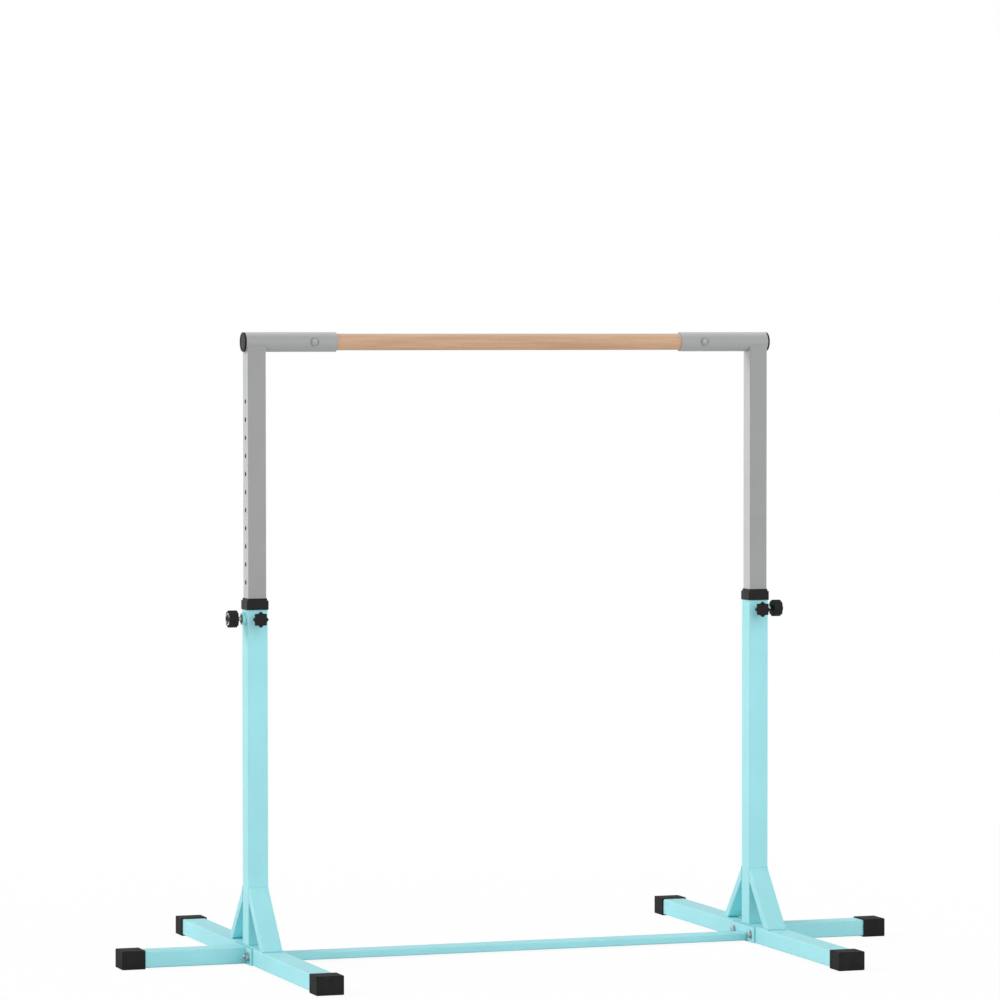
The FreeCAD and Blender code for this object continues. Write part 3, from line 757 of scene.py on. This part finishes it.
def make_sleeve_weld(side):
    """Bead along the coped joint between the upper post and the rail sleeve."""
    rng = random.Random(SLEEVE_WELD_SEED[side])
    post_low, post_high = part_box(side + "_upper_post")
    sleeve_low, sleeve_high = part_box(side + "_rail_sleeve")
    axis_z = (sleeve_low.z + sleeve_high.z) / 2
    sleeve_radius = (sleeve_high.z - sleeve_low.z) / 2
    size = post_high.x - post_low.x
    middle_x = (post_low.x + post_high.x) / 2
    flat = resample_loop(rounded_rectangle(size, size, TUBE_CORNER), WELD_STEP)
    loop = []
    normals = []
    for index, point in enumerate(flat):
        before = flat[index - 1]
        after = flat[(index + 1) % len(flat)]
        tangent = (after - before).normalized()
        height = axis_z - math.sqrt(sleeve_radius ** 2 - point.y ** 2)
        loop.append(Vector((middle_x + point.x, point.y, height)))
        sideways = Vector((tangent.y, -tangent.x, 0))
        normals.append((sideways - UPWARD * SLEEVE_WELD_TILT).normalized())
    build = bmesh.new()
    add_weld_bead(build, loop, normals, SLEEVE_WELD_RADIUS, rng)
    bmesh.ops.recalc_face_normals(build, faces=build.faces)
    weld = mesh_object(side + "_sleeve_weld", build)
    shade_by_angle(weld, WELD_SHARP_ANGLE)
    return weld


# ------------------------------------------------------------------ materials


class Surface:
    """Small helper that builds one procedural node material."""

    def __init__(self, name):
        self.material = bpy.data.materials.new(name)
        self.material.use_nodes = True
        self.tree = self.material.node_tree
        self.tree.nodes.clear()
        self.output = self.node("OutputMaterial")
        self.shader = self.node("BsdfPrincipled")
        self.link(self.shader.outputs["BSDF"], self.output.inputs["Surface"])
        self.place = self.node("TexCoord").outputs["Object"]

    def node(self, kind):
        return self.tree.nodes.new("ShaderNode" + kind)

    def link(self, source, target):
        self.tree.links.new(source, target)

    def set(self, **values):
        """Sets or links shader inputs; underscores stand for spaces."""
        for key, value in values.items():
            target = self.shader.inputs[key.replace("_", " ")]
            if isinstance(value, (int, float)):
                target.default_value = value
            else:
                self.link(value, target)

    def split(self, vector):
        """Sockets X, Y and Z of a vector."""
        parts = self.node("SeparateXYZ")
        self.link(vector, parts.inputs["Vector"])
        return parts.outputs

    def scaled_place(self, scale):
        """Object position, stretched by a different factor along each axis."""
        mapping = self.node("Mapping")
        mapping.inputs["Scale"].default_value = scale
        self.link(self.place, mapping.inputs["Vector"])
        return mapping.outputs["Vector"]

    def noise(self, scale, detail=3.0, roughness=0.5, stretch=None):
        node = self.node("TexNoise")
        node.inputs["Scale"].default_value = scale
        node.inputs["Detail"].default_value = detail
        node.inputs["Roughness"].default_value = roughness
        self.link(self.scaled_place(stretch) if stretch else self.place, node.inputs["Vector"])
        return node.outputs["Fac"]

    def cells(self, scale, stretch=None):
        node = self.node("TexVoronoi")
        node.inputs["Scale"].default_value = scale
        self.link(self.scaled_place(stretch) if stretch else self.place, node.inputs["Vector"])
        return node.outputs["Distance"]

    def remap(self, value, low, high, new_low, new_high):
        node = self.node("MapRange")
        self.link(value, node.inputs["Value"])
        limits = {"From Min": low, "From Max": high, "To Min": new_low, "To Max": new_high}
        for key, number in limits.items():
            node.inputs[key].default_value = number
        return node.outputs["Result"]

    def math(self, operation, first, second):
        node = self.node("Math")
        node.operation = operation
        for socket, value in zip(node.inputs, (first, second)):
            if isinstance(value, (int, float)):
                socket.default_value = value
            else:
                self.link(value, socket)
        return node.outputs["Value"]

    def mix(self, factor, first, second):
        """Colour mix; each colour is a tuple or a socket."""
        node = self.node("Mix")
        node.data_type = "RGBA"
        if isinstance(factor, (int, float)):
            node.inputs[0].default_value = factor
        else:
            self.link(factor, node.inputs[0])
        for socket, value in ((node.inputs[6], first), (node.inputs[7], second)):
            if isinstance(value, tuple):
                socket.default_value = value + (1.0,)
            else:
                self.link(value, socket)
        return node.outputs[2]

    def bump(self, height, distance, strength=1.0, normal=None):
        node = self.node("Bump")
        node.inputs["Distance"].default_value = distance
        node.inputs["Strength"].default_value = strength
        self.link(height, node.inputs["Height"])
        if normal is not None:
            self.link(normal, node.inputs["Normal"])
        return node.outputs["Normal"]

    def edge_mask(self, radius):
        """1 on convex and concave edges, 0 on flat faces."""
        bevel = self.node("Bevel")
        bevel.samples = 4
        bevel.inputs["Radius"].default_value = radius
        geometry = self.node("NewGeometry")
        product = self.node("VectorMath")
        product.operation = "DOT_PRODUCT"
        self.link(bevel.outputs["Normal"], product.inputs[0])
        self.link(geometry.outputs["Normal"], product.inputs[1])
        return self.remap(product.outputs["Value"], 0.999, 0.90, 0.0, 1.0)

    def crevice_mask(self, reach, tight, open_air, strength):
        """Ambient occlusion mask for painted shade and painted bounce light: the given strength in
        joints and tight corners, 0 on open faces.
        """
        nook = self.node("AmbientOcclusion")
        nook.samples = 6
        nook.inputs["Distance"].default_value = reach
        return self.remap(nook.outputs["AO"], tight, open_air, strength, 0.0)

    def painted_sheen_mask(self, strength):
        """Painted sheen: mask for white mixed into faces seen at a low angle, weaker where they look
        down.
        """
        facing = self.node("LayerWeight")
        facing.inputs["Blend"].default_value = 0.5
        low_angle = self.remap(facing.outputs["Facing"], 0.15, 0.52, 0.0, strength)
        geometry = self.node("NewGeometry")
        lifted = self.remap(self.split(geometry.outputs["Normal"])["Z"], -0.6, -0.05, 0.1, 1.0)
        return self.math("MULTIPLY", low_angle, lifted)

    def tube_inside(self, middle_x, half_side):
        """1 inside the two upright square tubes, 0 on their outer faces."""
        place = self.split(self.node("NewGeometry").outputs["Position"])
        from_middle = self.math("ABSOLUTE", place["X"], 0.0)
        across = self.math("ABSOLUTE", self.math("SUBTRACT", from_middle, middle_x), 0.0)
        along = self.math("ABSOLUTE", place["Y"], 0.0)
        return self.math("LESS_THAN", self.math("MAXIMUM", across, along), half_side)


def powder_coat(name, colour, roughness, specular, painted_sheen, shade_inside=False):
    """Powder-coated steel: fine orange peel, faint cloudiness, paler edges that are partly wear and
    partly painted highlight, painted sheen, painted shade in joints and painted bounce light in
    corners.
    """
    surface = Surface(name)
    cloud = surface.remap(surface.noise(9.0, 4.0), *NOISE_RANGE, 0.0, 1.0)
    darker = tuple(channel * 0.965 for channel in colour)
    lighter = tuple(min(channel * 1.03, 1.0) for channel in colour)
    base = surface.mix(cloud, darker, lighter)
    speck = surface.remap(surface.noise(1400.0, 2.0), 0.62, 0.72, 0.0, 0.10)
    base = surface.mix(speck, base, tuple(channel * 0.80 for channel in colour))
    # Paler edges: partly patchy wear, partly a painted edge highlight.
    patches = surface.remap(surface.noise(60.0), 0.35, 0.7, 0.05, 0.35)
    edge_wear_and_highlight = surface.math("MULTIPLY", surface.edge_mask(0.0012), patches)
    base = surface.mix(edge_wear_and_highlight, base, tuple(min(channel * 1.12 + 0.03, 1.0) for channel in colour))
    # Painted sheen: white mixed in where faces are seen at a low angle.
    base = surface.mix(surface.painted_sheen_mask(painted_sheen), base, WHITE)
    red, green, blue = colour
    if green > STRONG_COLOUR * red:
        # Coloured light thrown from tube to tube keeps the corners between them bright.
        glow = (min(green * GLOW_GAIN, GLOW_LIMITS[0]), min(blue * GLOW_GAIN, GLOW_LIMITS[1]))
        corners = surface.crevice_mask(reach=0.16, tight=0.20, open_air=0.44, strength=1.0)
        base = surface.mix(corners, base, (red, *glow))
    # Painted shade: joints and tight corners darkened towards a deeper copy of the colour.
    shadowed = tuple(channel ** 1.6 * 0.45 for channel in colour)
    joint_shade = surface.crevice_mask(reach=0.005, tight=0.40, open_air=0.80, strength=0.7)
    base = surface.mix(joint_shade, base, shadowed)
    # Painted shade: the inside of the upright tubes is near black, so their holes look dark.
    if shade_inside:
        low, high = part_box("right_upper_post")
        inner_half = (high.x - low.x) / 2 - INSIDE_SHADE_DEPTH
        inside = surface.tube_inside((low.x + high.x) / 2, inner_half)
        base = surface.mix(inside, base, TUBE_INSIDE_SHADE)
    uneven = surface.remap(surface.noise(35.0, 3.0), *NOISE_RANGE, roughness - 0.04, roughness + 0.05)
    peel = surface.bump(surface.noise(520.0, 2.0), distance=0.00006, strength=0.35)
    speckle = surface.noise(2600.0, 1.0)
    fine = surface.bump(speckle, distance=0.00002, strength=0.25, normal=peel)
    surface.set(Base_Color=base, Roughness=uneven, Normal=fine, Specular_IOR_Level=specular)
    return surface.material


def moulded_plastic(name, colour, roughness, grain_scale, grain_depth, specular, painted_sheen=0.0):
    """Black moulded plastic with a fine spark-eroded grain, paler edges that are partly rubbed wear
    and partly painted highlight, and painted sheen.
    """
    surface = Surface(name)
    cloud = surface.remap(surface.noise(40.0, 4.0), *NOISE_RANGE, 0.0, 1.0)
    base = surface.mix(cloud, tuple(c * 0.85 for c in colour), tuple(c * 1.18 for c in colour))
    # Paler edges: partly rubbed wear, partly a painted edge highlight.
    patches = surface.remap(surface.noise(90.0), 0.35, 0.7, 0.1, 0.5)
    edge_wear_and_highlight = surface.math("MULTIPLY", surface.edge_mask(0.0010), patches)
    base = surface.mix(edge_wear_and_highlight, base, tuple(c * 2.2 + 0.01 for c in colour))
    # Painted sheen: white mixed in where faces are seen at a low angle.
    base = surface.mix(surface.painted_sheen_mask(painted_sheen), base, WHITE)
    uneven = surface.remap(surface.noise(120.0, 3.0), *NOISE_RANGE, roughness - 0.05, roughness + 0.07)
    rough = surface.bump(surface.cells(grain_scale), distance=grain_depth, strength=0.6)
    speckle = surface.noise(grain_scale * 2.4, 2.0)
    fine = surface.bump(speckle, distance=grain_depth * 0.5, strength=0.5, normal=rough)
    surface.set(Base_Color=base, Roughness=uneven, Normal=fine, Specular_IOR_Level=specular)
    return surface.material


def beech(name):
    """Sanded beech with long grain, growth bands, the short dark flecks of its rays and a painted
    sheen.
    """
    surface = Surface(name)
    bands = surface.noise(26.0, 4.0, 0.55, (0.16, 1.6, 1.6))
    fibres = surface.noise(420.0, 3.0, 0.6, (0.022, 1.0, 1.0))
    broad = surface.noise(5.0, 2.0, 0.5, (0.7, 6.0, 6.0))
    base = surface.mix(surface.remap(bands, 0.32, 0.68, 0.0, 1.0), BEECH_DARK, BEECH_LIGHT)
    base = surface.mix(surface.remap(broad, 0.35, 0.7, 0.0, 0.35), base, BEECH_PINK)
    base = surface.mix(surface.remap(fibres, 0.42, 0.70, 0.0, 0.50), base, BEECH_FIBRE)
    flecks = surface.cells(170.0, (0.30, 1.0, 1.0))
    base = surface.mix(surface.remap(flecks, 0.10, 0.22, 0.34, 0.0), base, BEECH_FLECK)
    # Painted sheen: white mixed in where the wood is seen at a low angle.
    base = surface.mix(surface.painted_sheen_mask(0.17), base, WHITE)
    uneven = surface.remap(fibres, *NOISE_RANGE, 0.46, 0.62)
    ridges = surface.bump(fibres, distance=0.00008, strength=0.5)
    surface.set(Base_Color=base, Roughness=uneven, Normal=ridges, Specular_IOR_Level=0.35)
    return surface.material


def zinc_steel(name, colour, roughness, metallic=1.0):
    """Bright zinc-plated steel with faint passivation colour and turning marks."""
    surface = Surface(name)
    cloud = surface.remap(surface.noise(160.0, 4.0), *NOISE_RANGE, 0.0, 1.0)
    cool = (colour[0] * 0.90, colour[1] * 0.95, colour[2] * 1.03)
    warm = (colour[0] * 1.04, colour[1] * 1.00, colour[2] * 0.90)
    tone = surface.mix(cloud, cool, warm)
    uneven = surface.remap(surface.noise(700.0, 3.0), *NOISE_RANGE, roughness - 0.06, roughness + 0.10)
    marks = surface.bump(surface.noise(1800.0, 2.0), distance=0.00002, strength=0.4)
    surface.set(Base_Color=tone, Roughness=uneven, Normal=marks, Metallic=metallic)
    return surface.material


def printed_white(name):
    """Slightly uneven white pad print."""
    surface = Surface(name)
    patch = surface.remap(surface.noise(900.0, 3.0), 0.35, 0.65, 0.0, 1.0)
    tone = surface.mix(patch, PRINT_THIN, PRINT_THICK)
    grain = surface.bump(surface.noise(2500.0), distance=0.00002, strength=0.4)
    surface.set(Base_Color=tone, Roughness=0.55, Normal=grain)
    return surface.material


# Painted sheen: each material's sheen value sets how much white is painted onto faces seen at a low
# angle.
TURQUOISE = powder_coat(
    "turquoise_powder_coat",
    (0.306, 0.684, 0.728),
    roughness=0.52,
    specular=0.44,
    painted_sheen=0.03,
)
GREY = powder_coat(
    "grey_powder_coat",
    (0.305, 0.312, 0.308),
    roughness=0.50,
    specular=0.30,
    painted_sheen=0.25,
    shade_inside=True,
)
# Painted light: a lighter copy of the grey powder coat for the rail sleeves, standing in for the
# brighter light that falls on them.
GREY_LIT_SLEEVE = powder_coat(
    "grey_powder_coat_lit_sleeve",
    (0.336, 0.343, 0.339),
    roughness=0.50,
    specular=0.30,
    painted_sheen=0.25,
)
CAP_BLACK = moulded_plastic(
    "moulded_black",
    (0.0175, 0.0175, 0.0175),
    roughness=0.62,
    grain_scale=900.0,
    grain_depth=0.00005,
    specular=0.06,
)
GLOSS_BLACK = moulded_plastic(
    "glossy_black",
    (0.0195, 0.0195, 0.0195),
    roughness=0.42,
    grain_scale=1500.0,
    grain_depth=0.00001,
    specular=0.05,
    painted_sheen=0.008,
)
END_CAP_BLACK = moulded_plastic(
    "end_cap_black",
    (0.0175, 0.0175, 0.0175),
    roughness=0.45,
    grain_scale=1500.0,
    grain_depth=0.00001,
    specular=0.06,
    painted_sheen=0.025,
)
KNOB_BLACK = moulded_plastic(
    "knob_black",
    (0.0195, 0.0195, 0.0195),
    roughness=0.52,
    grain_scale=1300.0,
    grain_depth=0.00003,
    specular=0.04,
)
BEECH = beech("beech_wood")
ZINC = zinc_steel("zinc_plated_steel", (0.54, 0.545, 0.56), roughness=0.28)
GREY_BOLT = zinc_steel("dull_bolt_steel", (0.36, 0.36, 0.355), roughness=0.42, metallic=0.5)
WHITE_PRINT = printed_white("white_print")


def material_for(node):
    """Material of a CAD node that stays visible."""
    if node == "rail":
        return BEECH
    if node.endswith("collar"):
        return GLOSS_BLACK
    if node.endswith("sleeve_end_cap"):
        return END_CAP_BLACK
    if node.endswith(("cap", "caps", "bushing", "glide")):
        return CAP_BLACK
    if node == "rail_bolts":
        return GREY_BOLT
    if "bolts" in node or "nuts" in node or "washers" in node:
        return ZINC
    if node.endswith("rail_sleeve"):
        return GREY_LIT_SLEEVE
    if node.endswith("upper_post"):
        return GREY
    return TURQUOISE


def dress(obj, material):
    """Gives the object one material on every slot."""
    if not obj.material_slots:
        obj.data.materials.append(material)
    for slot in obj.material_slots:
        slot.material = material


# ------------------------------------------------------------------ build


def finish_piece(piece, body, material, slot_name, *nodes):
    """Dresses a new piece, lets it ride on its body and stand for CAD nodes."""
    dress(piece, material)
    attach(piece, body)
    if nodes:
        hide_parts(*nodes)


for node_name, node_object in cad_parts.items():
    dress(node_object, material_for(node_name))

for side in SIDES:
    finish_piece(make_pin_screw(side), side + "_pin_screw", ZINC, "zinc_steel", side + "_pin_stud")
    knob, knob_face = make_pin_knob(side)
    finish_piece(knob, side + "_pin_grip", KNOB_BLACK, "knob_plastic", side + "_pin_knob")
    finish_piece(make_knob_arrows(side, knob_face), side + "_pin_grip", WHITE_PRINT, None)
    screw = make_clamp_screw(side)
    finish_piece(screw, side + "_clamp_screw", ZINC, "zinc_steel", side + "_clamp_stud")
    star = make_clamp_knob(side)
    finish_piece(star, side + "_clamp_grip", KNOB_BLACK, "knob_plastic", side + "_clamp_knob")
    finish_piece(make_base_welds(side), "base_frame", TURQUOISE, "turquoise_paint")
    finish_piece(make_sleeve_weld(side), "carriage", GREY, "grey_paint")
finish_piece(make_flange_bolts(), "base_frame", ZINC, "zinc_steel", "flange_bolts")
# Painted shade: dark rings round the rail bolt heads.
finish_piece(make_rail_bolt_shade_rings(), "carriage", CAP_BLACK, "black_plastic")


# ------------------------------------------------------------------ stage


def floor_material():
    """Pale floor that melts into the white background away from the object, with painted shade near
    the object in the light it throws back.
    """
    surface = Surface("pale_floor")
    # Painted shade: other surfaces see the floor darker close to the object, so the low parts get less
    # bounce light; the camera sees it evenly pale.
    depth = surface.math("ABSOLUTE", surface.split(surface.place)["Y"], 0.0)
    shade = surface.remap(depth, FLOOR_NEAR_DEPTH, FLOOR_FAR_DEPTH, FLOOR_NEAR_SHADE, FLOOR_FAR)
    cloud = surface.remap(surface.noise(3.0), *NOISE_RANGE, 0.985, 1.0)
    seen = surface.node("LightPath").outputs["Is Camera Ray"]
    bounce = surface.math("MULTIPLY", shade, cloud)
    tone = surface.mix(seen, bounce, (FLOOR_FAR, FLOOR_FAR, FLOOR_FAR))
    surface.set(Base_Color=tone, Roughness=0.9, Specular_IOR_Level=0.0)
    reach = surface.node("VectorMath")
    reach.operation = "LENGTH"
    surface.link(surface.place, reach.inputs[0])
    melt = surface.remap(reach.outputs["Value"], MELT_START, MELT_END, MELT_LEAST, 1.0)
    glow = surface.node("Emission")
    blend = surface.node("MixShader")
    surface.link(surface.math("MULTIPLY", melt, seen), blend.inputs["Fac"])
    surface.link(surface.shader.outputs["BSDF"], blend.inputs[1])
    surface.link(glow.outputs["Emission"], blend.inputs[2])
    surface.link(blend.outputs["Shader"], surface.output.inputs["Surface"])
    return surface.material


def make_floor():
    """Large round floor under the object."""
    build = bmesh.new()
    bmesh.ops.create_circle(build, cap_ends=True, segments=128, radius=FLOOR_RADIUS)
    floor = mesh_object("studio_floor", build)
    dress(floor, floor_material())


def make_sun(name, towards, strength, spread):
    """Soft light from the given direction, as wide as the spread in degrees."""
    light = bpy.data.lights.new(name, "SUN")
    light.energy = strength
    light.angle = math.radians(spread)
    lamp = bpy.data.objects.new(name, light)
    lamp.rotation_euler = Vector(towards).to_track_quat("Z", "Y").to_euler()
    bpy.context.scene.collection.objects.link(lamp)


def make_world(around, overhead):
    """Surroundings that look plain white to the camera and give less light from overhead."""
    world = bpy.data.worlds.new("studio_white")
    world.use_nodes = True
    tree = world.node_tree
    lit = tree.nodes["Background"]
    lit.inputs["Color"].default_value = WHITE + (1.0,)
    parts = tree.nodes.new("ShaderNodeSeparateXYZ")
    direction = tree.nodes.new("ShaderNodeTexCoord").outputs["Generated"]
    tree.links.new(direction, parts.inputs["Vector"])
    fall = tree.nodes.new("ShaderNodeMapRange")
    fall.inputs["To Min"].default_value = around
    fall.inputs["To Max"].default_value = overhead
    tree.links.new(parts.outputs["Z"], fall.inputs["Value"])
    tree.links.new(fall.outputs["Result"], lit.inputs["Strength"])
    seen = tree.nodes.new("ShaderNodeBackground")
    seen.inputs["Color"].default_value = WHITE + (1.0,)
    blend = tree.nodes.new("ShaderNodeMixShader")
    by_camera = tree.nodes.new("ShaderNodeLightPath").outputs["Is Camera Ray"]
    tree.links.new(by_camera, blend.inputs["Fac"])
    tree.links.new(lit.outputs["Background"], blend.inputs[1])
    tree.links.new(seen.outputs["Background"], blend.inputs[2])
    tree.links.new(blend.outputs["Shader"], tree.nodes["World Output"].inputs["Surface"])
    bpy.context.scene.world = world


def make_camera():
    """Camera with the photograph's place, direction and field of view."""
    camera = bpy.data.cameras.new("view_camera")
    camera.sensor_width = CAMERA_SENSOR
    camera.lens = CAMERA_LENS
    camera.clip_end = CAMERA_REACH
    obj = bpy.data.objects.new("view_camera", camera)
    forward = Vector((
        -math.sin(CAMERA_YAW) * math.cos(CAMERA_DOWN),
        math.cos(CAMERA_YAW) * math.cos(CAMERA_DOWN),
        -math.sin(CAMERA_DOWN),
    ))
    obj.location = CAMERA_PLACE
    obj.rotation_mode = "QUATERNION"
    aim = forward.to_track_quat("-Z", "Y")
    obj.rotation_quaternion = aim @ Matrix.Rotation(CAMERA_ROLL, 4, "Z").to_quaternion()
    bpy.context.scene.collection.objects.link(obj)
    bpy.context.scene.camera = obj


make_floor()
make_world(LIGHT_AROUND, LIGHT_OVERHEAD)
make_sun("left_key", **LEFT_KEY)
make_sun("front_key", **FRONT_KEY)
make_camera()
bpy.context.scene.view_settings.view_transform = "Standard"
